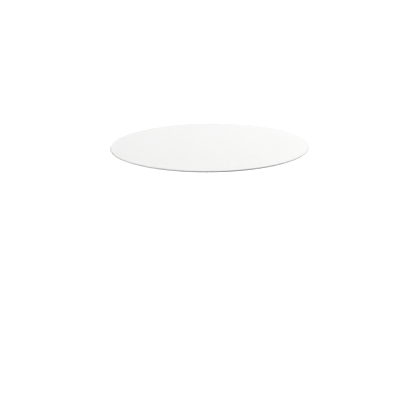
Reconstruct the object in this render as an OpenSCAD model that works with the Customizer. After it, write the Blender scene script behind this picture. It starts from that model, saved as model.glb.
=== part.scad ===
// Filter paper disc: one round sheet of thick, matt cellulose paper, punched out of the web
// with a ring knife and used flat in a funnel or a filter holder.
//
// The sheet lies as it comes to rest. +Z points up out of its smooth face, and the origin is
// at the centre of its underside. All sizes are in millimetres.

/* [Sheet] */
// Diameter of the disc, across the cut
disc_d = 55; // [20:1:240]
// Thickness of the paper
sheet_t = 0.39; // [0.2:0.01:0.8]

/* [Cut edge] */
// Radius that the knife rolls onto the upper edge as it enters the paper
entry_roll = 0.08; // [0.02:0.01:0.12]
// Radius that it leaves on the lower edge as it breaks through
exit_roll = 0.03; // [0.01:0.01:0.06]

/* [Hidden] */

disc_r = disc_d / 2;
$fn = 180;

// One rounded corner of the section, its centre at height z, touching the cut from inside
module rolled_corner(roll, z) {
    translate([disc_r - roll, z]) circle(r = roll);
}

// Half of the disc's section, from its axis out to the cut: X is the radius and Y the height.
// Three bands, each shorter by the roll that it ends at, carry the two rounded corners.
module half_section() {
    square([disc_r - entry_roll, sheet_t]);
    square([disc_r - exit_roll, sheet_t - entry_roll]);
    translate([0, exit_roll]) square([disc_r, sheet_t - exit_roll - entry_roll]);
    rolled_corner(entry_roll, sheet_t - entry_roll);
    rolled_corner(exit_roll, exit_roll);
}

// The whole disc, one turn of its section about the upright axis
module filter_disc() {
    color([0.95, 0.95, 0.945]) rotate_extrude() half_section();
}

filter_disc();
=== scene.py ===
"""Looks of a filter paper disc: one thick sheet of white felted cellulose, punched round.

The frame gives the disc's size. A detailed sheet stands in for the plain solid, loose fibres
lie on both of its faces, and cut fibre ends stand out of its punched edge. Everything is in
metres, with the disc lying on the floor at Z 0 and its axis on Z.
"""

import logging
import math
from dataclasses import asdict, dataclass, field
from enum import Enum

import bpy
import numpy as np
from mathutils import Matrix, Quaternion, Vector


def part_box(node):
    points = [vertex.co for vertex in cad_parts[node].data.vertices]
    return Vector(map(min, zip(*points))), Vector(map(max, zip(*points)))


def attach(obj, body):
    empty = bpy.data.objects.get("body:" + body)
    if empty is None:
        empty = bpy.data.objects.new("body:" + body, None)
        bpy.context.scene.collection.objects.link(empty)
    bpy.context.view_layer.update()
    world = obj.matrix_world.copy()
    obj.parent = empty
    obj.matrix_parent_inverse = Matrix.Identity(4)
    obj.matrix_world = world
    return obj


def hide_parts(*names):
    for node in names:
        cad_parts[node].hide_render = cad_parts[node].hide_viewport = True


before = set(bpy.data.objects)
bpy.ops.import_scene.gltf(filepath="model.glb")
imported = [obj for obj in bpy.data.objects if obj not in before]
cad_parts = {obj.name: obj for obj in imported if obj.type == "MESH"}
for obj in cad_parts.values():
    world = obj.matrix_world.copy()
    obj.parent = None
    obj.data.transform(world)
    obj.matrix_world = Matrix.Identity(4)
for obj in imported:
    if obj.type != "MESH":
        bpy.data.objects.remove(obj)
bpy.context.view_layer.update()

logging.basicConfig(level=logging.INFO, format="%(name)s: %(message)s")
log = logging.getLogger("filter_disc")

MM = 0.001
CAD_NODE = "filter_disc"
BODY = "root"

# Attributes that the sheet's mesh carries into its relief
INWARD = "inward"
ON_WALL = "on_wall"

# The two ranges of a noise that are stretched out from 0 to 1. The narrow one gives more
# contrast.
NARROW = (0.3, 0.7)
WIDE = (0.25, 0.75)
# The middle of a noise's colours, which stray by up to a half from it
MIDDLE = (0.5, 0.5, 0.5)
# What multiplies a vector to lay it level
LEVEL = (1.0, 1.0, 0.0)


class Side(Enum):
    """The two faces of the sheet, by the sign of their direction along Z."""

    UPPER = 1
    UNDER = -1


class Slot(Enum):
    """The sheet's material slots, in order."""

    UPPER = 0
    WALL = 1
    UNDER = 2


# ---------------------------------------------------------------------------------------------
# Node trees
# ---------------------------------------------------------------------------------------------


class Graph:
    """A node tree that is filled by short calls."""

    def __init__(self, tree: bpy.types.NodeTree) -> None:
        """Starts with an empty tree.

        Args:
            tree: The node tree to fill.
        """
        self.tree = tree
        tree.nodes.clear()

    def feed(self, socket: bpy.types.NodeSocket, value: object) -> None:
        """Sets an input to a value, or links it.

        Args:
            socket: The input socket.
            value: A plain value, or the output socket that feeds it.
        """
        if isinstance(value, bpy.types.NodeSocket):
            self.tree.links.new(value, socket)
        else:
            socket.default_value = value

    def add(self, kind: str, inputs: dict | None = None, **settings: object) -> bpy.types.Node:
        """Adds a node.

        Args:
            kind: The node's type name.
            inputs: What feeds its inputs, by position or name.
            **settings: The node's own properties.

        Returns:
            The new node.
        """
        node = self.tree.nodes.new(kind)
        for name, value in settings.items():
            setattr(node, name, value)
        for key, value in (inputs or {}).items():
            self.feed(node.inputs[key], value)
        return node

    def place(self, group: bpy.types.NodeTree, values: dict) -> bpy.types.Node:
        """Places a node group.

        Args:
            group: The group.
            values: What feeds its inputs, by name.

        Returns:
            The group's node.
        """
        node = self.tree.nodes.new("ShaderNodeGroup")
        node.node_tree = group
        for label, value in values.items():
            self.feed(node.inputs[label], value)
        return node

    def use(self, group: bpy.types.NodeTree, values: dict) -> bpy.types.NodeSocket:
        """Places a node group and returns its first output."""
        return self.place(group, values).outputs[0]

    def math(self, operation: str, *values: object) -> bpy.types.NodeSocket:
        """Returns the result of a Math node on one to three values."""
        return self.add("ShaderNodeMath", dict(enumerate(values)), operation=operation).outputs[0]

    def vector(self, operation: str, *values: object, scale: object = None) -> bpy.types.NodeSocket:
        """Adds a Vector Math node.

        Args:
            operation: What it does.
            *values: The vectors that it works on.
            scale: The number that it works with, where it takes one.

        Returns:
            The vector that it makes.
        """
        inputs = dict(enumerate(values))
        if scale is not None:
            inputs["Scale"] = scale
        return self.add("ShaderNodeVectorMath", inputs, operation=operation).outputs["Vector"]

    def length(self, vector: bpy.types.NodeSocket) -> bpy.types.NodeSocket:
        """Returns a vector's length."""
        return self.add("ShaderNodeVectorMath", {0: vector}, operation="LENGTH").outputs["Value"]

    def spread(self, value: object, low: float, high: float, to_low: object = 0.0,
               to_high: object = 1.0, smooth: bool = False) -> bpy.types.NodeSocket:
        """Maps a value from one range to another, and holds it inside the second.

        Args:
            value: The value to map.
            low: Where the first range starts.
            high: Where it ends.
            to_low: What low becomes.
            to_high: What high becomes.
            smooth: Whether the mapping eases in and out.

        Returns:
            The mapped value.
        """
        kind = "SMOOTHSTEP" if smooth else "LINEAR"
        return self.add(
            "ShaderNodeMapRange",
            {"Value": value, "From Min": low, "From Max": high, "To Min": to_low, "To Max": to_high},
            interpolation_type=kind,
        ).outputs["Result"]

    def split(self, vector: bpy.types.NodeSocket) -> list[bpy.types.NodeSocket]:
        """Returns a vector's X, Y and Z."""
        return list(self.add("ShaderNodeSeparateXYZ", {0: vector}).outputs)

    def join(self, x: object = 0.0, y: object = 0.0, z: object = 0.0) -> bpy.types.NodeSocket:
        """Returns a vector of three values."""
        return self.add("ShaderNodeCombineXYZ", {0: x, 1: y, 2: z}).outputs[0]

    def blend(self, share: object, low: tuple, high: tuple) -> bpy.types.NodeSocket:
        """Returns the colour that lies a share of the way from one colour to another."""
        # The node has a pair of ends for each data type, and those of its colours are 6 and 7
        return self.add("ShaderNodeMix", {0: share, 6: low, 7: high}, data_type="RGBA").outputs[2]

    def noise(self, place: object, size: object, detail: float = 2.0, roughness: float = 0.5,
              shift: object = 0.0) -> bpy.types.Node:
        """Adds a noise of features of one size.

        Args:
            place: The coordinates, in metres.
            size: The features' size, in metres.
            detail: The number of finer octaves.
            roughness: How strong each finer octave is.
            shift: The fourth coordinate, which picks the pattern. On a whole number the
                noise fades at every grid point, so the seeds have a fraction.

        Returns:
            The noise node.
        """
        if isinstance(size, bpy.types.NodeSocket):
            scale = self.math("DIVIDE", 1.0, size)
        else:
            scale = 1.0 / size
        return self.add(
            "ShaderNodeTexNoise",
            {"Vector": place, "W": shift, "Scale": scale, "Detail": detail, "Roughness": roughness},
            noise_dimensions="4D",
        )


def open_group(name: str, kind: str, inputs: dict, outputs: dict) -> tuple[Graph, dict, bpy.types.Node]:
    """Makes a node group with named sockets.

    Args:
        name: The group's name.
        kind: The type of its node tree.
        inputs: Each input's socket type and default value, by name.
        outputs: Each output's socket type, by name.

    Returns:
        The group's graph, its inputs inside the group by name, and its output node.
    """
    tree = bpy.data.node_groups.new(name, kind)
    graph = Graph(tree)
    for label, (socket_type, default) in inputs.items():
        socket = tree.interface.new_socket(name=label, in_out="INPUT", socket_type=socket_type)
        if default is not None:
            socket.default_value = default
    for label, socket_type in outputs.items():
        tree.interface.new_socket(name=label, in_out="OUTPUT", socket_type=socket_type)
    entry = graph.add("NodeGroupInput")
    return graph, {label: entry.outputs[label] for label in inputs}, graph.add("NodeGroupOutput")


def grow(name: str, mesh: bpy.types.Mesh, tree: bpy.types.NodeTree, values: dict) -> bpy.types.Object:
    """Runs a geometry node tree on a mesh and keeps its result as a plain mesh.

    Args:
        name: The new object's name.
        mesh: The mesh that goes into the tree.
        tree: The geometry node tree.
        values: The tree's inputs, by name.

    Returns:
        An object at the origin with the finished mesh and no modifier.
    """
    piece = bpy.data.objects.new(name, mesh)
    bpy.context.scene.collection.objects.link(piece)
    modifier = piece.modifiers.new("build", "NODES")
    modifier.node_group = tree
    identifiers = {
        item.name: item.identifier
        for item in tree.interface.items_tree
        if item.item_type == "SOCKET" and item.in_out == "INPUT"
    }
    for label, value in values.items():
        modifier[identifiers[label]] = value
    piece.update_tag()
    evaluated = piece.evaluated_get(bpy.context.evaluated_depsgraph_get())
    result = bpy.data.meshes.new_from_object(evaluated)
    result.name = name
    piece.modifiers.remove(modifier)
    piece.data = result
    return piece


# ---------------------------------------------------------------------------------------------
# Effects that several finishes share
# ---------------------------------------------------------------------------------------------

# How far one pick moves a layer's cells, in cells
PICK_SHIFT = (3.71, 9.13, 0.0)
# A drawn fibre's least and greatest width as shares of the given one, and its least height
WIDTH_RANGE = (0.6, 1.5)
LEAST_HEIGHT = 0.5
# Where a drawn fibre starts to fade towards its ends and where it is gone, in cells
FADE_RANGE = (0.36, 0.48)
# The share of its half width over which its crest is flat
CREST_SHARE = 0.35
# How much shorter each layer's fibres are, how far its pick moves on, and how far a fibre
# shifts where it crosses one below
LAYER_SHORTENING = 0.09
LAYER_PICK = 1.7
DRAPE = (0.008 * MM, -0.008 * MM, 0.0)


def fibre_layer_group() -> bpy.types.NodeTree:
    """Makes the group that strews short bent fibres over a plane, one in each cell.

    Returns:
        The shader node group. Its output is the fibres' height, from 0 to 1.
    """
    graph, given, out = open_group(
        "Fibre layer", "ShaderNodeTree",
        {
            "Vector": ("NodeSocketVector", None),
            "Cell": ("NodeSocketFloat", 1.0 * MM),
            "Width": ("NodeSocketFloat", 0.05 * MM),
            "Bend": ("NodeSocketFloat", 1.5),
            "Pick": ("NodeSocketFloat", 0.0),
        },
        {"Height": "NodeSocketFloat"},
    )
    scaled = graph.vector("SCALE", given["Vector"], scale=graph.math("DIVIDE", 1.0, given["Cell"]))
    moved = graph.vector("MULTIPLY_ADD", given["Pick"], PICK_SHIFT, scaled)
    cells = graph.add("ShaderNodeTexVoronoi", {"Vector": moved, "Scale": 1.0}, voronoi_dimensions="2D")
    drawn = graph.split(cells.outputs["Color"])
    from_middle = graph.vector("SUBTRACT", moved, cells.outputs["Position"])
    turned = graph.add(
        "ShaderNodeVectorRotate",
        {"Vector": from_middle, "Angle": graph.math("MULTIPLY", drawn[0], math.pi)},
        rotation_type="Z_AXIS",
    ).outputs[0]
    along, across, _ = graph.split(turned)
    bend = graph.math("MULTIPLY", given["Bend"], graph.math("SUBTRACT", drawn[1], 0.5))
    bow = graph.math("MULTIPLY", bend, graph.math("MULTIPLY", along, along))
    off = graph.math("ABSOLUTE", graph.math("SUBTRACT", across, bow))
    reach = graph.math("DIVIDE", graph.math("MULTIPLY", given["Width"], 0.5), given["Cell"])
    varied = graph.math("MULTIPLY", reach, graph.spread(drawn[2], 0.0, 1.0, *WIDTH_RANGE))
    line = graph.spread(off, graph.math("MULTIPLY", varied, CREST_SHARE), varied, 1.0, 0.0, smooth=True)
    ends = graph.spread(graph.math("ABSOLUTE", along), *FADE_RANGE, 1.0, 0.0, smooth=True)
    level = graph.spread(drawn[2], 0.0, 1.0, LEAST_HEIGHT, 1.0)
    graph.feed(out.inputs[0], graph.math("MULTIPLY", level, graph.math("MULTIPLY", line, ends)))
    return graph.tree


def fibre_mat_group(layer: bpy.types.NodeTree, layers: int = 4) -> bpy.types.NodeTree:
    """Makes the group that felts several layers of fibres together.

    Each layer drapes over the ones below it, so a fibre shifts a little where it crosses one.

    Args:
        layer: The group that makes one layer.
        layers: How many layers lie over each other.

    Returns:
        The shader node group. Its outputs are the mat's height, from 0 to 1, and the draped
        coordinates for the mat on top of it.
    """
    graph, given, out = open_group(
        "Fibre mat", "ShaderNodeTree",
        {
            "Vector": ("NodeSocketVector", None),
            "Length": ("NodeSocketFloat", 1.4 * MM),
            "Width": ("NodeSocketFloat", 0.05 * MM),
            "Waviness": ("NodeSocketFloat", 0.15 * MM),
            "Seed": ("NodeSocketFloat", 0.0),
        },
        {"Height": "NodeSocketFloat", "Draped": "NodeSocketVector"},
    )
    wander = graph.noise(
        given["Vector"], given["Length"], detail=1.0, roughness=0.5, shift=given["Seed"]
    )
    centred = graph.vector("SUBTRACT", wander.outputs["Color"], MIDDLE)
    place = graph.vector("MULTIPLY_ADD", centred, given["Waviness"], given["Vector"])
    total: object = 0.0
    for number in range(layers):
        fibres = graph.use(layer, {
            "Vector": place,
            "Cell": graph.math("MULTIPLY", given["Length"], 1.0 - LAYER_SHORTENING * number),
            "Width": given["Width"],
            "Pick": graph.math("ADD", given["Seed"], LAYER_PICK * number),
        })
        total = graph.math("MAXIMUM", total, fibres)
        place = graph.vector("MULTIPLY_ADD", fibres, DRAPE, place)
    graph.feed(out.inputs[0], total)
    graph.feed(out.inputs[1], place)
    return graph.tree


def formation_group() -> bpy.types.NodeTree:
    """Makes the group for the cloudy look-through of the sheet, dense flocs among thinner spots.

    Returns:
        The shader node group. Its output is the floc density, from 0 to 1.
    """
    graph, given, out = open_group(
        "Formation", "ShaderNodeTree",
        {
            "Vector": ("NodeSocketVector", None),
            "Floc Size": ("NodeSocketFloat", 3.0 * MM),
            "Seed": ("NodeSocketFloat", 0.0),
        },
        {"Density": "NodeSocketFloat"},
    )
    flocs = graph.noise(
        given["Vector"], given["Floc Size"], detail=4.0, roughness=0.62, shift=given["Seed"]
    )
    graph.feed(out.inputs[0], graph.spread(flocs.outputs["Fac"], *NARROW))
    return graph.tree


def fabric_mark_group() -> bpy.types.NodeTree:
    """Makes the group for the faint knuckle pattern that the forming fabric leaves.

    Returns:
        The shader node group. Its output is the mark's height, from 0 to 1.
    """
    graph, given, out = open_group(
        "Fabric mark", "ShaderNodeTree",
        {
            "Vector": ("NodeSocketVector", None),
            "Pitch": ("NodeSocketFloat", 0.5 * MM),
            "Lay": ("NodeSocketFloat", math.radians(31.0)),
        },
        {"Height": "NodeSocketFloat"},
    )
    turned = graph.add(
        "ShaderNodeVectorRotate",
        {"Vector": given["Vector"], "Angle": given["Lay"]},
        rotation_type="Z_AXIS",
    ).outputs[0]
    per_metre = graph.math("DIVIDE", 2 * math.pi, given["Pitch"])
    warp, weft, _ = graph.split(graph.vector("SCALE", turned, scale=per_metre))
    waves = graph.math("MULTIPLY", graph.math("SINE", warp), graph.math("SINE", weft))
    graph.feed(out.inputs[0], graph.spread(waves, -1.0, 1.0, smooth=True))
    return graph.tree


@dataclass
class Effects:
    """The shared effects, each built once."""

    fibre_layer: bpy.types.NodeTree = field(default_factory=fibre_layer_group)
    formation: bpy.types.NodeTree = field(default_factory=formation_group)
    fabric_mark: bpy.types.NodeTree = field(default_factory=fabric_mark_group)
    fibre_mat: bpy.types.NodeTree = field(init=False)

    def __post_init__(self) -> None:
        """Builds the mat out of its layer."""
        self.fibre_mat = fibre_mat_group(self.fibre_layer)


# ---------------------------------------------------------------------------------------------
# Finishes
# ---------------------------------------------------------------------------------------------


def grey(level: float, warmth: float = 0.0) -> tuple[float, float, float, float]:
    """Makes a near-neutral colour.

    Args:
        level: Its brightness, from 0 to 1.
        warmth: How much less blue it has, as a share.

    Returns:
        The colour as red, green, blue and alpha.
    """
    return (level, level * (1 - warmth / 3), level * (1 - warmth), 1.0)


def start_material(name: str) -> tuple[bpy.types.Material, Graph, bpy.types.Node, bpy.types.NodeSocket]:
    """Starts a material of bleached cellulose.

    Args:
        name: The material's name.

    Returns:
        The material, its graph, its surface shader and the piece's own coordinates.
    """
    material = bpy.data.materials.new(name)
    material.use_nodes = True
    graph = Graph(material.node_tree)
    shader = graph.add("ShaderNodeBsdfPrincipled", {
        "IOR": 1.47,
        "Specular IOR Level": 0.35,
        "Sheen Weight": 0.12,
        "Sheen Roughness": 0.6,
    })
    graph.add("ShaderNodeOutputMaterial", {"Surface": shader.outputs[0]})
    place = graph.add("ShaderNodeTexCoord").outputs["Object"]
    return material, graph, shader, place


def press(graph: Graph, shader: bpy.types.Node, height: bpy.types.NodeSocket, relief: float) -> None:
    """Presses a relief into a surface.

    Args:
        graph: The material's graph.
        shader: Its surface shader.
        height: The relief, as a number.
        relief: The height that the number 1 stands for, in metres.
    """
    bump = graph.add("ShaderNodeBump", {"Strength": 1.0, "Distance": relief, "Height": height})
    graph.feed(shader.inputs["Normal"], bump.outputs[0])


@dataclass(frozen=True)
class MatLayer:
    """One size of fibre in a face's mat, and its share of the relief."""

    length: float
    width: float
    share: float


@dataclass(frozen=True)
class FaceFinish:
    """A felted face of the sheet.

    The shares weigh the parts of the relief, whose height in metres is that of a share of
    one, and the tones weigh the parts of the colour. The flocs' tone is the paper's own
    cloudiness. The fibres' and pores' tones are painted shade, darker in the relief's hollows
    between fibres and lighter on its raised fibres. The paper is at its brightest where its
    tones add up to the full tone, and at its smoothest where its fibres reach the full height.
    The mark is the forming fabric's, on the underside. The steps set the fibre layers' seeds
    and the lumps' seed apart.
    """

    name: str
    bright: float = 0.935
    dull: float = 0.845
    warmth: float = 0.006
    floc_size: float = 2.6 * MM
    mat: tuple[MatLayer, ...] = (
        MatLayer(1.5 * MM, 0.060 * MM, 0.30),
        MatLayer(0.8 * MM, 0.042 * MM, 0.25),
        MatLayer(0.4 * MM, 0.030 * MM, 0.20),
    )
    relief: float = 0.023 * MM
    pore_size: float = 0.15 * MM
    pore_share: float = 0.45
    lump_size: float = 0.75 * MM
    lump_share: float = 0.8
    mark_share: float = 0.0
    mark_pitch: float = 0.52 * MM
    # Painted shade: how much lighter the raised fibres and pores are than the hollows between them
    fibre_tone: float = 0.8
    pore_tone: float = 0.35
    floc_tone: float = 0.12
    full_tone: float = 0.9
    full_height: float = 0.6
    hollow_roughness: float = 0.97
    fibre_roughness: float = 0.82
    mat_seed_step: float = 3.3
    lump_seed_step: float = 1.0
    seed: float = 0.41

    def make(self, effects: Effects) -> bpy.types.Material:
        """Makes the finish.

        Args:
            effects: The shared effects.

        Returns:
            The finish as a material.
        """
        material, graph, shader, place = start_material(self.name)
        flocs = graph.use(
            effects.formation, {"Vector": place, "Floc Size": self.floc_size, "Seed": self.seed}
        )
        fibres: object = 0.0
        ground = place
        for number, layer in enumerate(self.mat):
            mat = graph.place(effects.fibre_mat, {
                "Vector": ground,
                "Length": layer.length,
                "Width": layer.width,
                "Seed": self.seed + self.mat_seed_step * number,
            })
            fibres = graph.math("MULTIPLY_ADD", mat.outputs["Height"], layer.share, fibres)
            ground = mat.outputs["Draped"]
        pored = graph.noise(place, self.pore_size, detail=3.0, roughness=0.65, shift=self.seed)
        pores = graph.spread(pored.outputs["Fac"], *NARROW)
        lump_seed = self.seed + self.lump_seed_step
        lumps = graph.noise(place, self.lump_size, detail=2.0, roughness=0.55, shift=lump_seed)
        height = graph.math("MULTIPLY_ADD", pores, self.pore_share, fibres)
        height = graph.math("MULTIPLY_ADD", lumps.outputs["Fac"], self.lump_share, height)
        if self.mark_share:
            mark = graph.use(effects.fabric_mark, {"Vector": place, "Pitch": self.mark_pitch})
            height = graph.math("MULTIPLY_ADD", mark, self.mark_share, height)
        # The fibres' and pores' parts paint shade into the colour, darker in the relief's hollows and
        # lighter on its raised fibres. The flocs' part is the paper's own cloudiness.
        fibre_shade_part = graph.math("MULTIPLY", fibres, self.fibre_tone)
        tone = graph.math("MULTIPLY_ADD", pores, self.pore_tone, fibre_shade_part)
        tone = graph.math("MULTIPLY_ADD", flocs, self.floc_tone, tone)
        share = graph.spread(tone, 0.0, self.full_tone)
        colour = graph.blend(share, grey(self.dull, self.warmth), grey(self.bright, self.warmth))
        rough = graph.spread(fibres, 0.0, self.full_height, self.hollow_roughness, self.fibre_roughness)
        graph.feed(shader.inputs["Base Color"], colour)
        graph.feed(shader.inputs["Roughness"], rough)
        press(graph, shader, height, self.relief)
        return material


@dataclass(frozen=True)
class CutFinish:
    """The punched wall, where flattened fibres and their cut ends show in thin layers.

    Its felt is laid on the unrolled wall and flattened along its height. The shares weigh the
    parts of the relief, whose height in metres is that of a share of one. Both colour and
    roughness follow it, from its low level to its high one. The colour's part is painted shade:
    it darkens in the relief's low layers and hollows and lightens on its raised fibre ends.
    """

    name: str
    radius: float
    # The dull colour is painted shade in the wall's low layers and hollows, and the bright one is on
    # its raised fibre ends
    bright: float = 0.93
    dull: float = 0.78
    warmth: float = 0.008
    fibre_length: float = 0.34 * MM
    fibre_width: float = 0.034 * MM
    flattening: float = 2.2
    layer: float = 0.03 * MM
    streak: float = 0.2 * MM
    end_size: float = 0.04 * MM
    waviness: float = 0.08 * MM
    layer_share: float = 0.5
    end_share: float = 0.5
    mat_share: float = 0.35
    low_level: float = 0.2
    high_level: float = 1.0
    hollow_roughness: float = 1.0
    fibre_roughness: float = 0.88
    relief: float = 0.03 * MM
    seed: float = 11.41

    def make(self, effects: Effects) -> bpy.types.Material:
        """Makes the finish.

        Args:
            effects: The shared effects.

        Returns:
            The finish as a material.
        """
        material, graph, shader, place = start_material(self.name)
        x, y, z = graph.split(place)
        along = graph.math("MULTIPLY", graph.math("ARCTAN2", y, x), self.radius)
        unrolled = graph.join(along, graph.math("MULTIPLY", z, self.flattening))
        mat = graph.use(effects.fibre_mat, {
            "Vector": unrolled,
            "Length": self.fibre_length,
            "Width": self.fibre_width,
            "Waviness": self.waviness,
            "Seed": self.seed,
        })
        squeezed = graph.vector("MULTIPLY", place, (1.0, 1.0, self.streak / self.layer))
        streaks = graph.noise(squeezed, self.streak, detail=3.0, roughness=0.6, shift=self.seed)
        layers = graph.spread(streaks.outputs["Fac"], *WIDE)
        dots = graph.noise(place, self.end_size, detail=2.0, roughness=0.6, shift=self.seed)
        ends = graph.spread(dots.outputs["Fac"], *WIDE)
        end_part = graph.math("MULTIPLY", ends, self.end_share)
        height = graph.math("MULTIPLY_ADD", layers, self.layer_share, end_part)
        height = graph.math("MULTIPLY_ADD", mat, self.mat_share, height)
        levels = (self.low_level, self.high_level)
        # Painted shade: the colour darkens with the relief, in the wall's low layers and hollows, and
        # lightens on its raised fibre ends
        share = graph.spread(height, *levels)
        colour = graph.blend(share, grey(self.dull, self.warmth), grey(self.bright, self.warmth))
        rough = graph.spread(height, *levels, self.hollow_roughness, self.fibre_roughness)
        graph.feed(shader.inputs["Base Color"], colour)
        graph.feed(shader.inputs["Roughness"], rough)
        press(graph, shader, height, self.relief)
        return material


@dataclass(frozen=True)
class FibreFinish:
    """A single bleached fibre, a little glossier than the mat that it lies on."""

    name: str
    bright: float = 0.93
    dull: float = 0.88
    bright_warmth: float = 0.004
    dull_warmth: float = 0.01
    mottle_size: float = 0.6 * MM
    dull_roughness: float = 0.75
    bright_roughness: float = 0.6
    seed: float = 60.41

    def make(self) -> bpy.types.Material:
        """Makes the finish.

        Returns:
            The finish as a material.
        """
        material, graph, shader, place = start_material(self.name)
        spots = graph.noise(place, self.mottle_size, detail=2.0, roughness=0.5, shift=self.seed)
        mottle = spots.outputs["Fac"]
        dull = grey(self.dull, self.dull_warmth)
        bright = grey(self.bright, self.bright_warmth)
        colour = graph.blend(graph.spread(mottle, *NARROW), dull, bright)
        rough = graph.spread(mottle, *NARROW, self.dull_roughness, self.bright_roughness)
        graph.feed(shader.inputs["Base Color"], colour)
        graph.feed(shader.inputs["Roughness"], rough)
        return material


# ---------------------------------------------------------------------------------------------
# The sheet
# ---------------------------------------------------------------------------------------------

# What the felt's noise and the fray's add to the relief's seed
FELT_SEED = 7.0
FRAY_SEED = 3.0


def relief_tree() -> bpy.types.NodeTree:
    """Makes the tree that presses the felted paper's relief into a smooth sheet.

    Every point moves inwards only, so that the high spots stay on the sheet's nominal faces,
    as they do when its thickness is measured between two flat anvils.

    Returns:
        The geometry node tree.
    """
    graph, given, out = open_group(
        "Felt relief", "GeometryNodeTree",
        {
            "Geometry": ("NodeSocketGeometry", None),
            "Cloud Depth": ("NodeSocketFloat", 0.01 * MM),
            "Cloud Size": ("NodeSocketFloat", 5 * MM),
            "Felt Depth": ("NodeSocketFloat", 0.01 * MM),
            "Felt Size": ("NodeSocketFloat", 1 * MM),
            "Fray Depth": ("NodeSocketFloat", 0.02 * MM),
            "Fray Size": ("NodeSocketFloat", 0.8 * MM),
            "Layers": ("NodeSocketFloat", 5.0),
            "Seed": ("NodeSocketFloat", 0.0),
        },
        {"Geometry": "NodeSocketGeometry"},
    )
    place = graph.add("GeometryNodeInputPosition").outputs[0]
    inward = graph.add("GeometryNodeInputNamedAttribute", {"Name": INWARD}, data_type="FLOAT_VECTOR")
    on_wall = graph.add("GeometryNodeInputNamedAttribute", {"Name": ON_WALL}, data_type="FLOAT")
    seed = given["Seed"]
    clouds = graph.noise(place, given["Cloud Size"], detail=1.0, roughness=0.5, shift=seed)
    felt_seed = graph.math("ADD", seed, FELT_SEED)
    felt = graph.noise(place, given["Felt Size"], detail=2.0, roughness=0.6, shift=felt_seed)
    layered = graph.vector("MULTIPLY", place, graph.join(1.0, 1.0, given["Layers"]))
    fray_seed = graph.math("ADD", seed, FRAY_SEED)
    fray = graph.noise(layered, given["Fray Size"], detail=3.0, roughness=0.6, shift=fray_seed)
    face_depth = graph.math(
        "ADD",
        graph.math("MULTIPLY", graph.spread(clouds.outputs["Fac"], *NARROW), given["Cloud Depth"]),
        graph.math("MULTIPLY", graph.spread(felt.outputs["Fac"], *WIDE), given["Felt Depth"]),
    )
    frayed = graph.spread(fray.outputs["Fac"], *WIDE)
    wall_depth = graph.math("MULTIPLY", frayed, given["Fray Depth"])
    depth = graph.add(
        "ShaderNodeMix", {0: on_wall.outputs[0], 2: face_depth, 3: wall_depth}, data_type="FLOAT"
    ).outputs[0]
    offset = graph.vector("SCALE", inward.outputs[0], scale=depth)
    moved = graph.add("GeometryNodeSetPosition", {"Geometry": given["Geometry"], "Offset": offset})
    graph.feed(out.inputs[0], moved.outputs[0])
    return graph.tree


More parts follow.
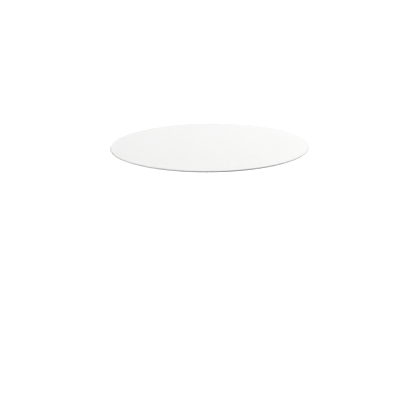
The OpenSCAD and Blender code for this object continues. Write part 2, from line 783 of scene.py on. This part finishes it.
@dataclass
class FilterSheet:
    """The paper itself: two felted faces and the punched wall between them.

    Both faces are the same grid of quads, which has no pole at its centre. Its concentric
    squares are drawn out into circles, so that its border is the rim. The clouds and the
    felt shape the faces. The fray shapes the wall, squeezed along Z by its layers.
    """

    radius: float
    thickness: float
    entry_roll: float = 0.08 * MM
    exit_roll: float = 0.03 * MM
    rings: int = 104
    entry_steps: int = 3
    wall_steps: int = 8
    exit_steps: int = 2
    cloud_depth: float = 0.012 * MM
    cloud_size: float = 6 * MM
    felt_depth: float = 0.016 * MM
    felt_size: float = 1.3 * MM
    fray_depth: float = 0.03 * MM
    fray_size: float = 0.8 * MM
    fray_layers: float = 9.0
    seed: float = 4.41
    materials: list[bpy.types.Material] = field(default_factory=list)

    def face_grid(self) -> tuple[np.ndarray, np.ndarray, np.ndarray]:
        """Lays out one face as a unit disc.

        Returns:
            The points as X and Y, the quads as four point numbers each, anticlockwise, and the
            point numbers along the border, anticlockwise.
        """
        across = 2 * self.rings + 1
        steps = np.linspace(-1.0, 1.0, across)
        a, b = (grid.ravel() for grid in np.meshgrid(steps, steps))
        wide = np.abs(a) >= np.abs(b)
        reach = np.where(wide, a, b)
        with np.errstate(divide="ignore", invalid="ignore"):
            turn = np.where(wide, np.pi / 4 * b / a, np.pi / 2 - np.pi / 4 * a / b)
        turn = np.nan_to_num(turn)
        flat = np.column_stack([reach * np.cos(turn), reach * np.sin(turn)])
        number = np.arange(across * across).reshape(across, across)
        quads = np.stack([number[:-1, :-1], number[:-1, 1:], number[1:, 1:], number[1:, :-1]], -1)
        border = np.concatenate([number[0, :-1], number[:-1, -1], number[-1, :0:-1], number[:0:-1, 0]])
        return flat, quads.reshape(-1, 4), border

    def corner(self, roll: float, height: float, turn: float) -> tuple[float, float, float, float]:
        """Finds one point of a rolled corner of the edge.

        Args:
            roll: The corner's radius.
            height: The height of its centre.
            turn: How far the point's outward direction is turned up from level.

        Returns:
            A radius, a height and the outward direction's radial and upward parts.
        """
        out, up = math.cos(turn), math.sin(turn)
        return self.radius - roll * (1 - out), height + roll * up, out, up

    def edge_section(self) -> list[tuple[float, float, float, float]]:
        """Follows the section of the punched edge from the upper face down to the lower one.

        Returns:
            The section's points, each as corner gives it.
        """
        section = []
        top, low = self.thickness - self.entry_roll, self.exit_roll
        for step in range(1, self.entry_steps + 1):
            turn = math.pi / 2 * (1 - step / self.entry_steps)
            section.append(self.corner(self.entry_roll, top, turn))
        for step in range(1, self.wall_steps):
            section.append((self.radius, top + (low - top) * step / self.wall_steps, 1.0, 0.0))
        for step in range(self.exit_steps):
            turn = -math.pi / 2 * step / self.exit_steps
            section.append(self.corner(self.exit_roll, low, turn))
        return section

    def smooth_mesh(self) -> bpy.types.Mesh:
        """Makes the closed sheet before its relief.

        Returns:
            The mesh, with its inward directions, wall weights and material slots.
        """
        flat, quads, border = self.face_grid()
        count, around = len(flat), len(border)
        rim = flat[border]
        top_height = np.full(count, self.thickness)
        upper = np.column_stack([flat * (self.radius - self.entry_roll), top_height])
        lower = np.column_stack([flat * (self.radius - self.exit_roll), np.zeros(count)])
        section = self.edge_section()
        loops = [np.column_stack([rim * r, np.full(around, z)]) for r, z, _, _ in section]
        places = np.concatenate([upper, lower, *loops])
        up = np.array([0.0, 0.0, 1.0])
        inward = np.concatenate(
            [np.tile(-up, (count, 1)), np.tile(up, (count, 1))]
            + [-np.column_stack([rim * out, np.full(around, rise)]) for _, _, out, rise in section]
        )
        on_wall = np.concatenate(
            [np.zeros(2 * count)] + [np.full(around, out) for _, _, out, _ in section]
        )
        chain = [border]
        chain += [2 * count + around * i + np.arange(around) for i in range(len(section))]
        chain.append(count + border)
        walls = [
            np.column_stack([above, below, np.roll(below, -1), np.roll(above, -1)])
            for above, below in zip(chain[:-1], chain[1:])
        ]
        faces = np.concatenate([quads, quads[:, ::-1] + count, *walls])
        mesh = bpy.data.meshes.new("filter_sheet")
        mesh.from_pydata(places.tolist(), [], faces.tolist())
        slots = np.full(len(faces), Slot.WALL.value)
        slots[: len(quads)] = Slot.UPPER.value
        slots[len(quads) : 2 * len(quads)] = Slot.UNDER.value
        mesh.polygons.foreach_set("material_index", slots.astype(np.int32))
        mesh.polygons.foreach_set("use_smooth", np.ones(len(faces), bool))
        mesh.attributes.new(INWARD, "FLOAT_VECTOR", "POINT").data.foreach_set("vector", inward.ravel())
        mesh.attributes.new(ON_WALL, "FLOAT", "POINT").data.foreach_set("value", on_wall)
        for material in self.materials:
            mesh.materials.append(material)
        return mesh

    def build(self) -> bpy.types.Object:
        """Builds the sheet, which stands for the plain solid.

        Returns:
            The finished sheet.
        """
        sheet = grow("filter_sheet", self.smooth_mesh(), relief_tree(), {
            "Cloud Depth": self.cloud_depth,
            "Cloud Size": self.cloud_size,
            "Felt Depth": self.felt_depth,
            "Felt Size": self.felt_size,
            "Fray Depth": self.fray_depth,
            "Fray Size": self.fray_size,
            "Layers": self.fray_layers,
            "Seed": self.seed,
        })
        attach(sheet, BODY)
        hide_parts(CAD_NODE)
        return sheet


# ---------------------------------------------------------------------------------------------
# Loose fibres
# ---------------------------------------------------------------------------------------------

# Attributes that a point carries for the fibre that grows on it
FIBRE_LENGTH = "fibre_length"
FIBRE_WIDTH = "fibre_width"
FIBRE_PICK = "fibre_pick"
# The picks run from 0 to this, far enough apart for each fibre to bend in its own way
MOST_PICK = 100.0
# The sides of a fibre's body
BODY_SIDES = 4
# Where a fibre starts to taper, from 0 in its middle to 1 at its tips, and how wide it ends
TAPER_START = 0.6
TIP_WIDTH = 0.35
# The least upright part of a face's direction, and the most of the edge's
FACE_UPRIGHT = 0.8
EDGE_UPRIGHT = 0.9
# How far over and under the nominal face a lying fibre looks for the paper
SEARCH = 1.0 * MM
# How far a lying fibre's middle stands over the paper, as a share of half its height
REST_SHARE = 0.25
# A fibre that the punch has cut down to fewer points than this is dropped
LEAST_POINTS = 3
# How much of a lying fibre, and of a standing one, is behind the point that it grows from
LYING_ROOT = 0.5
STANDING_ROOT = 0.25


class Draw(Enum):
    """A fibre's random draws, by what each adds to its tree's seed."""

    LENGTH = 1
    WIDTH = 2
    PICK = 3
    TURN = 4
    LIFT = 5


@dataclass(frozen=True)
class FibreKind:
    """How many fibres of one kind there are, how long and wide, and how crooked.

    The density is their number in a square metre, the flatness a body's height over its width,
    the curl how far a fibre may stray as a share of its length, and the points lie along it.
    """

    density: float
    shortest: float
    longest: float
    narrowest: float
    widest: float
    flatness: float
    curl: float
    points: int

    def inputs(self) -> dict[str, float]:
        """Returns the sizes by the names of the fibre trees' inputs."""
        return {name.capitalize(): value for name, value in asdict(self).items()}


# The inputs that both fibre trees have
FIBRE_INPUTS = {
    "Geometry": ("NodeSocketGeometry", None),
    "Density": ("NodeSocketFloat", 1e6),
    "Shortest": ("NodeSocketFloat", 0.2 * MM),
    "Longest": ("NodeSocketFloat", 2.0 * MM),
    "Narrowest": ("NodeSocketFloat", 0.02 * MM),
    "Widest": ("NodeSocketFloat", 0.05 * MM),
    "Flatness": ("NodeSocketFloat", 0.4),
    "Curl": ("NodeSocketFloat", 0.5),
    "Points": ("NodeSocketInt", 8),
    "Seed": ("NodeSocketInt", 0),
    "Material": ("NodeSocketMaterial", None),
}


def chance(graph: Graph, low: object, high: object, seed: object, draw: Draw) -> bpy.types.NodeSocket:
    """Draws a number that differs at random from point to point.

    Args:
        graph: The geometry node graph.
        low: The least that it can be.
        high: The most that it can be.
        seed: The tree's seed.
        draw: Which of a fibre's draws it is.

    Returns:
        The number.
    """
    own_seed = graph.math("ADD", seed, float(draw.value))
    # The node has two limits for each data type: its floats' are 2 and 3, and the seed is 8
    drawn = graph.add("FunctionNodeRandomValue", {2: low, 3: high, 8: own_seed}, data_type="FLOAT")
    return drawn.outputs[1]


def either_way(graph: Graph, most: object, seed: object, draw: Draw) -> bpy.types.NodeSocket:
    """Returns a random number that is as likely below zero as above it, as chance draws it."""
    return chance(graph, graph.math("MULTIPLY", most, -1.0), most, seed, draw)


def kept(graph: Graph, name: str) -> bpy.types.NodeSocket:
    """Returns the number that a fibre's point carries under a name."""
    return graph.add("GeometryNodeInputNamedAttribute", {"Name": name}, data_type="FLOAT").outputs[0]


def strew_points(graph: Graph, given: dict, chosen: object,
                 length: object) -> tuple[bpy.types.NodeSocket, bpy.types.NodeSocket]:
    """Strews the points that fibres grow on.

    Args:
        graph: The geometry node graph.
        given: The tree's inputs, by name.
        chosen: Which faces of the sheet take points.
        length: Each fibre's length.

    Returns:
        The points, which carry each fibre's length, width and pick, and the direction that the
        sheet faces at each point.
    """
    strewn = graph.add("GeometryNodeDistributePointsOnFaces", {
        "Mesh": given["Geometry"],
        "Selection": chosen,
        "Density": given["Density"],
        "Seed": given["Seed"],
    })
    points = strewn.outputs["Points"]
    numbers = {
        FIBRE_LENGTH: length,
        FIBRE_WIDTH: chance(graph, given["Narrowest"], given["Widest"], given["Seed"], Draw.WIDTH),
        FIBRE_PICK: chance(graph, 0.0, MOST_PICK, given["Seed"], Draw.PICK),
    }
    for name, number in numbers.items():
        points = graph.add(
            "GeometryNodeStoreNamedAttribute",
            {"Geometry": points, "Name": name, "Value": number},
            data_type="FLOAT",
            domain="POINT",
        ).outputs[0]
    return points, strewn.outputs["Normal"]


def plant_fibres(graph: Graph, given: dict, points: bpy.types.NodeSocket, root: float,
                 turn: object) -> bpy.types.NodeSocket:
    """Puts a straight fibre on each point.

    Args:
        graph: The geometry node graph.
        given: The tree's inputs, by name.
        points: The points.
        root: How much of a fibre is behind its point.
        turn: The rotation of each, from lying along X.

    Returns:
        The fibres' centrelines.
    """
    line = graph.add("GeometryNodeCurvePrimitiveLine", {
        "Start": (-root, 0.0, 0.0),
        "End": (1.0 - root, 0.0, 0.0),
    })
    fibre = graph.add(
        "GeometryNodeResampleCurve", {"Curve": line.outputs[0], "Count": given["Points"]}
    )
    planted = graph.add("GeometryNodeInstanceOnPoints", {
        "Points": points,
        "Instance": fibre.outputs[0],
        "Rotation": turn,
        "Scale": kept(graph, FIBRE_LENGTH),
    })
    return graph.add("GeometryNodeRealizeInstances", {"Geometry": planted.outputs[0]}).outputs[0]


def move_points(graph: Graph, curves: object, **where: object) -> bpy.types.NodeSocket:
    """Returns curves whose points are moved, by an Offset or to a Position."""
    return graph.add("GeometryNodeSetPosition", {"Geometry": curves, **where}).outputs[0]


def drop_parts(graph: Graph, curves: object, chosen: object, domain: str) -> bpy.types.NodeSocket:
    """Returns curves without the chosen points or the chosen whole curves, by the domain."""
    inputs = {"Geometry": curves, "Selection": chosen}
    return graph.add("GeometryNodeDeleteGeometry", inputs, domain=domain).outputs[0]


def bend_fibres(graph: Graph, given: dict, curves: bpy.types.NodeSocket, detail: float,
                roughness: float, share: tuple = (1.0, 1.0, 1.0)) -> bpy.types.NodeSocket:
    """Bends straight fibres at random, each in its own way.

    Args:
        graph: The geometry node graph.
        given: The tree's inputs, by name.
        curves: The fibres' centrelines.
        detail: The number of finer bends.
        roughness: How strong each finer bend is.
        share: How much of the bend goes along X, Y and Z.

    Returns:
        The bent centrelines.
    """
    place = graph.add("GeometryNodeInputPosition").outputs[0]
    length = kept(graph, FIBRE_LENGTH)
    bends = graph.noise(place, length, detail, roughness, kept(graph, FIBRE_PICK)).outputs["Color"]
    sway = graph.vector("MULTIPLY", graph.vector("SUBTRACT", bends, MIDDLE), share)
    # The noise strays by half on each side of its middle, so twice the curl is its whole range
    reach = graph.math("MULTIPLY", length, graph.math("MULTIPLY", given["Curl"], 2.0))
    return move_points(graph, curves, Offset=graph.vector("SCALE", sway, scale=reach))


def give_bodies(graph: Graph, given: dict, curves: bpy.types.NodeSocket) -> bpy.types.NodeSocket:
    """Gives fibres their collapsed, ribbon-like bodies, which taper to both tips.

    Args:
        graph: The geometry node graph.
        given: The tree's inputs, by name.
        curves: The fibres' centrelines.

    Returns:
        The fibres as one mesh with its material.
    """
    lying = graph.add("GeometryNodeSetCurveNormal", {"Curve": curves}, mode="Z_UP").outputs[0]
    ring = graph.add("GeometryNodeCurvePrimitiveCircle", {"Resolution": BODY_SIDES, "Radius": 1.0})
    squash = graph.join(1.0, given["Flatness"], 1.0)
    profile = graph.add("GeometryNodeTransform", {"Geometry": ring.outputs[0], "Scale": squash})
    along = graph.add("GeometryNodeSplineParameter").outputs["Factor"]
    from_middle = graph.math("ABSOLUTE", graph.math("MULTIPLY_ADD", along, 2.0, -1.0))
    taper = graph.spread(from_middle, TAPER_START, 1.0, 1.0, TIP_WIDTH, smooth=True)
    body = graph.add("GeometryNodeCurveToMesh", {
        "Curve": lying,
        "Profile Curve": profile.outputs[0],
        "Scale": graph.math("MULTIPLY", graph.math("MULTIPLY", kept(graph, FIBRE_WIDTH), 0.5), taper),
        "Fill Caps": True,
    })
    faceted = graph.add(
        "GeometryNodeSetShadeSmooth", {"Geometry": body.outputs[0], "Shade Smooth": False}
    )
    plain = graph.add("GeometryNodeRealizeInstances", {"Geometry": faceted.outputs[0]})
    return graph.add(
        "GeometryNodeSetMaterial", {"Geometry": plain.outputs[0], "Material": given["Material"]}
    ).outputs[0]


def surface_fibres_tree() -> bpy.types.NodeTree:
    """Makes the tree that lays fibres on one face of the sheet.

    The fibres follow the face's relief, partly sunk in it, and none rises above its high spots.
    The punch has cut off what reaches past the rim.

    Returns:
        The geometry node tree.
    """
    graph, given, out = open_group(
        "Surface fibres", "GeometryNodeTree",
        {
            **FIBRE_INPUTS,
            "Side": ("NodeSocketFloat", 1.0),
            "Face Height": ("NodeSocketFloat", 0.0),
            "Face Radius": ("NodeSocketFloat", 27.0 * MM),
        },
        {"Geometry": "NodeSocketGeometry"},
    )
    side, seed, height = given["Side"], given["Seed"], given["Face Height"]
    upright = graph.split(graph.add("GeometryNodeInputNormal").outputs[0])[2]
    on_face = graph.math("GREATER_THAN", graph.math("MULTIPLY", upright, side), FACE_UPRIGHT)
    size = chance(graph, given["Shortest"], given["Longest"], seed, Draw.LENGTH)
    points, _ = strew_points(graph, given, on_face, size)
    turn = graph.join(z=chance(graph, 0.0, math.pi, seed, Draw.TURN))
    rotation = graph.add("FunctionNodeEulerToRotation", {0: turn}).outputs[0]
    curves = plant_fibres(graph, given, points, LYING_ROOT, rotation)
    curves = bend_fibres(graph, given, curves, detail=2.0, roughness=0.45, share=LEVEL)
    place = graph.add("GeometryNodeInputPosition").outputs[0]
    flat = graph.vector("MULTIPLY", place, LEVEL)
    beyond = graph.math("GREATER_THAN", graph.length(flat), given["Face Radius"])
    curves = drop_parts(graph, curves, beyond, "POINT")
    start = graph.math("ADD", height, graph.math("MULTIPLY", side, SEARCH))
    ray = graph.add("GeometryNodeRaycast", {
        "Target Geometry": given["Geometry"],
        "Source Position": graph.vector("ADD", flat, graph.join(z=start)),
        "Ray Direction": graph.join(z=graph.math("MULTIPLY", side, -1.0)),
        "Ray Length": 2 * SEARCH,
    }, data_type="FLOAT")
    half = graph.math("MULTIPLY", kept(graph, FIBRE_WIDTH), 0.5)
    thick = graph.math("MULTIPLY", half, given["Flatness"])
    ground = graph.math("MULTIPLY", graph.split(ray.outputs["Hit Position"])[2], side)
    top = graph.math("SUBTRACT", graph.math("MULTIPLY", height, side), thick)
    lying = graph.math("MINIMUM", graph.math("MULTIPLY_ADD", thick, REST_SHARE, ground), top)
    x, y, _ = graph.split(place)
    curves = move_points(graph, curves, Position=graph.join(x, y, graph.math("MULTIPLY", lying, side)))
    count = graph.add("GeometryNodeSplineLength").outputs["Point Count"]
    curves = drop_parts(graph, curves, graph.math("LESS_THAN", count, LEAST_POINTS), "CURVE")
    graph.feed(out.inputs[0], give_bodies(graph, given, curves))
    return graph.tree


def edge_fuzz_tree() -> bpy.types.NodeTree:
    """Makes the tree that stands cut fibre ends out of the punched edge.

    Most of them are short. They lean from straight out to well along the edge.

    Returns:
        The geometry node tree.
    """
    graph, given, out = open_group(
        "Edge fuzz", "GeometryNodeTree",
        {
            **FIBRE_INPUTS,
            "Most Sideways": ("NodeSocketFloat", 3.0),
            "Most Upwards": ("NodeSocketFloat", 0.4),
            "Proud Radius": ("NodeSocketFloat", 27.7 * MM),
            "Top": ("NodeSocketFloat", 0.39 * MM),
        },
        {"Geometry": "NodeSocketGeometry"},
    )
    seed = given["Seed"]
    upright = graph.split(graph.add("GeometryNodeInputNormal").outputs[0])[2]
    on_edge = graph.math("LESS_THAN", graph.math("ABSOLUTE", upright), EDGE_UPRIGHT)
    size = chance(graph, 0.0, 1.0, seed, Draw.LENGTH)
    squared = graph.math("MULTIPLY", size, size)
    length = graph.spread(squared, 0.0, 1.0, given["Shortest"], given["Longest"])
    points, outward = strew_points(graph, given, on_edge, length)
    around = graph.vector("CROSS_PRODUCT", (0.0, 0.0, 1.0), outward)
    aside = either_way(graph, given["Most Sideways"], seed, Draw.TURN)
    sideways = graph.vector("SCALE", around, scale=aside)
    upwards = graph.join(z=either_way(graph, given["Most Upwards"], seed, Draw.LIFT))
    lean = graph.vector("ADD", graph.vector("ADD", outward, sideways), upwards)
    rotation = graph.add("FunctionNodeAlignRotationToVector", {"Vector": lean}, axis="X").outputs[0]
    curves = plant_fibres(graph, given, points, STANDING_ROOT, rotation)
    curves = bend_fibres(graph, given, curves, detail=1.0, roughness=0.5)
    half = graph.math("MULTIPLY", kept(graph, FIBRE_WIDTH), 0.5)
    x, y, z = graph.split(graph.add("GeometryNodeInputPosition").outputs[0])
    flat = graph.join(x, y)
    away = graph.length(flat)
    pull = graph.math("DIVIDE", graph.math("MINIMUM", away, given["Proud Radius"]), away)
    highest = graph.math("SUBTRACT", given["Top"], half)
    level = graph.math("MAXIMUM", graph.math("MINIMUM", z, highest), half)
    held = graph.vector("ADD", graph.vector("SCALE", flat, scale=pull), graph.join(z=level))
    curves = move_points(graph, curves, Position=held)
    graph.feed(out.inputs[0], give_bodies(graph, given, curves))
    return graph.tree


@dataclass
class SurfaceFibres:
    """The loose fibres that show on one face."""

    side: Side
    radius: float
    thickness: float
    tree: bpy.types.NodeTree
    material: bpy.types.Material
    kind: FibreKind = FibreKind(
        density=0.85e6,
        shortest=0.7 * MM,
        longest=2.8 * MM,
        narrowest=0.02 * MM,
        widest=0.05 * MM,
        flatness=0.25,
        curl=0.55,
        points=12,
    )
    rim_margin: float = 0.1 * MM
    seed: int = 3

    def build(self, sheet: bpy.types.Mesh) -> bpy.types.Object:
        """Lays the fibres on the sheet.

        Args:
            sheet: The finished sheet's mesh.

        Returns:
            The fibres as one piece.
        """
        name = f"{self.side.name.lower()}_face_fibres"
        piece = grow(name, sheet.copy(), self.tree, {
            **self.kind.inputs(),
            "Side": float(self.side.value),
            "Face Height": self.thickness if self.side is Side.UPPER else 0.0,
            "Face Radius": self.radius - self.rim_margin,
            "Seed": self.seed + self.side.value,
            "Material": self.material,
        })
        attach(piece, BODY)
        return piece


@dataclass
class EdgeFuzz:
    """The cut fibre ends that stand out of the punched edge.

    They lean sideways and upwards by up to the given multiples of the outward direction, and
    their centrelines stand proud of the disc's radius by a set length at most.
    """

    radius: float
    thickness: float
    material: bpy.types.Material
    kind: FibreKind = FibreKind(
        density=60e6,
        shortest=0.12 * MM,
        longest=0.42 * MM,
        narrowest=0.010 * MM,
        widest=0.024 * MM,
        flatness=0.5,
        curl=0.5,
        points=5,
    )
    most_sideways: float = 3.0
    most_upwards: float = 0.4
    proud: float = 0.09 * MM
    seed: int = 21

    def build(self, sheet: bpy.types.Mesh) -> bpy.types.Object:
        """Grows the fibre ends on the sheet's edge.

        Args:
            sheet: The finished sheet's mesh.

        Returns:
            The fibre ends as one piece.
        """
        piece = grow("cut_edge_fuzz", sheet.copy(), edge_fuzz_tree(), {
            **self.kind.inputs(),
            "Most Sideways": self.most_sideways,
            "Most Upwards": self.most_upwards,
            "Proud Radius": self.radius + self.proud,
            "Top": self.thickness,
            "Seed": self.seed,
            "Material": self.material,
        })
        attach(piece, BODY)
        return piece


# ---------------------------------------------------------------------------------------------
# The studio
# ---------------------------------------------------------------------------------------------


def background_rays(graph: Graph) -> bpy.types.NodeSocket:
    """Finds the rays that show the background.

    Args:
        graph: The floor's or the world's graph.

    Returns:
        1 for a ray to the camera, or one in a reflection or through glass, and 0 for light.
    """
    path = graph.add("ShaderNodeLightPath")
    seen = graph.math("MAXIMUM", path.outputs["Is Camera Ray"], path.outputs["Is Glossy Ray"])
    return graph.math("MAXIMUM", seen, path.outputs["Is Transmission Ray"])


@dataclass(frozen=True)
class Lamp:
    """A round soft light that faces the disc. Its power is in watts."""

    name: str
    place: tuple[float, float, float]
    width: float
    power: float

    def hang(self) -> None:
        """Adds the light to the scene."""
        data = bpy.data.lights.new(self.name, "AREA")
        data.shape = "DISK"
        data.size = self.width
        data.energy = self.power
        lamp = bpy.data.objects.new(self.name, data)
        bpy.context.scene.collection.objects.link(lamp)
        lamp.location = self.place
        lamp.rotation_mode = "QUATERNION"
        lamp.rotation_quaternion = Vector(self.place).to_track_quat("Z", "Y")


@dataclass
class Studio:
    """The pale floor, the soft lights and the camera.

    The floor's glow, which grows from near the disc to far from it, and the white world show
    to the camera and in reflections, and add no other light: the ambient level does that, with
    the lamps. The disc's upper face is centred on a pixel of a square frame.
    """

    thickness: float
    floor_width: float = 6.0
    floor_grey: float = 0.42
    near: float = 0.06
    far: float = 0.5
    near_glow: float = 0.25
    far_glow: float = 0.8
    ambient: float = 0.26
    lamps: tuple[Lamp, ...] = (
        Lamp("key", (0.27, 0.10, 0.37), 0.28, 2.0),
        Lamp("left", (-0.51, -0.08, 0.13), 0.30, 1.5),
    )
    lens: float = 216.3
    sensor: float = 36.0
    distance: float = 0.692
    elevation: float = math.radians(14.0)
    frame_px: float = 416.0
    disc_x_px: float = 209.9
    disc_y_px: float = 146.05
    roll: float = math.radians(-0.5)

    def camera(self) -> None:
        """Places the camera so that the disc stands where it should in a square frame."""
        data = bpy.data.cameras.new("camera")
        data.lens = self.lens
        data.sensor_width = self.sensor
        data.clip_start = 0.01
        data.clip_end = 20.0
        camera = bpy.data.objects.new("camera", data)
        bpy.context.scene.collection.objects.link(camera)
        bpy.context.scene.camera = camera
        back = Vector((0.0, -math.cos(self.elevation), math.sin(self.elevation)))
        camera.location = Vector((0, 0, self.thickness)) + back * self.distance
        focal_px = self.lens / self.sensor * self.frame_px
        up = math.atan((self.frame_px / 2 - self.disc_y_px) / focal_px)
        right = math.atan((self.disc_x_px - self.frame_px / 2) / focal_px)
        camera.rotation_mode = "QUATERNION"
        camera.rotation_quaternion = (
            back.to_track_quat("Z", "Y")
            @ Quaternion((0, 0, 1), self.roll)
            @ Quaternion((1, 0, 0), -up)
            @ Quaternion((0, 1, 0), right)
        )

    def floor(self) -> None:
        """Lays a pale floor, which looks white to the camera and keeps the shadow near the disc."""
        half = self.floor_width / 2
        mesh = bpy.data.meshes.new("floor")
        corners = [(-half, -half, 0), (half, -half, 0), (half, half, 0), (-half, half, 0)]
        mesh.from_pydata(corners, [], [(0, 1, 2, 3)])
        floor = bpy.data.objects.new("floor", mesh)
        bpy.context.scene.collection.objects.link(floor)
        material = bpy.data.materials.new("pale floor")
        material.use_nodes = True
        graph = Graph(material.node_tree)
        away = graph.length(graph.add("ShaderNodeTexCoord").outputs["Object"])
        lift = graph.spread(away, self.near, self.far, self.near_glow, self.far_glow, smooth=True)
        plain = graph.add("ShaderNodeBsdfDiffuse", {"Color": grey(self.floor_grey)})
        seen = graph.add("ShaderNodeBsdfDiffuse", {"Color": grey(1.0)})
        glow = graph.add("ShaderNodeEmission", {"Color": grey(1.0), "Strength": lift})
        white = graph.add("ShaderNodeAddShader", {0: seen.outputs[0], 1: glow.outputs[0]})
        mixed = graph.add("ShaderNodeMixShader", {
            0: background_rays(graph),
            1: plain.outputs[0],
            2: white.outputs[0],
        })
        graph.add("ShaderNodeOutputMaterial", {"Surface": mixed.outputs[0]})
        mesh.materials.append(material)

    def world(self) -> None:
        """Sets the even light from all round, which looks white to the camera."""
        world = bpy.data.worlds.new("studio")
        bpy.context.scene.world = world
        world.use_nodes = True
        graph = Graph(world.node_tree)
        strength = graph.spread(background_rays(graph), 0.0, 1.0, self.ambient, 1.0)
        light = graph.add("ShaderNodeBackground", {"Color": grey(1.0), "Strength": strength})
        graph.add("ShaderNodeOutputWorld", {"Surface": light.outputs[0]})

    def build(self) -> None:
        """Sets up the whole studio."""
        self.floor()
        self.world()
        for lamp in self.lamps:
            lamp.hang()
        self.camera()
        bpy.context.scene.view_settings.view_transform = "Standard"


def main() -> None:
    """Builds the disc and its studio."""
    low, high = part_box(CAD_NODE)
    radius = (high.x - low.x) / 2
    thickness = high.z - low.z
    effects = Effects()
    finishes = [
        FaceFinish("felt side").make(effects),
        CutFinish("punched edge", radius).make(effects),
        FaceFinish("fabric side", mark_share=0.6, seed=40.41).make(effects),
    ]
    sheet = FilterSheet(radius, thickness, materials=finishes).build()
    pieces = [sheet]
    loose = FibreFinish("loose fibre").make()
    laid = surface_fibres_tree()
    for side in Side:
        pieces.append(SurfaceFibres(side, radius, thickness, laid, loose).build(sheet.data))
    pieces.append(EdgeFuzz(radius, thickness, loose).build(sheet.data))
    for piece in pieces:
        piece.data.calc_loop_triangles()
        log.info("%s: %d triangles", piece.name, len(piece.data.loop_triangles))
    Studio(thickness).build()


if __name__ == "__main__":
    main()
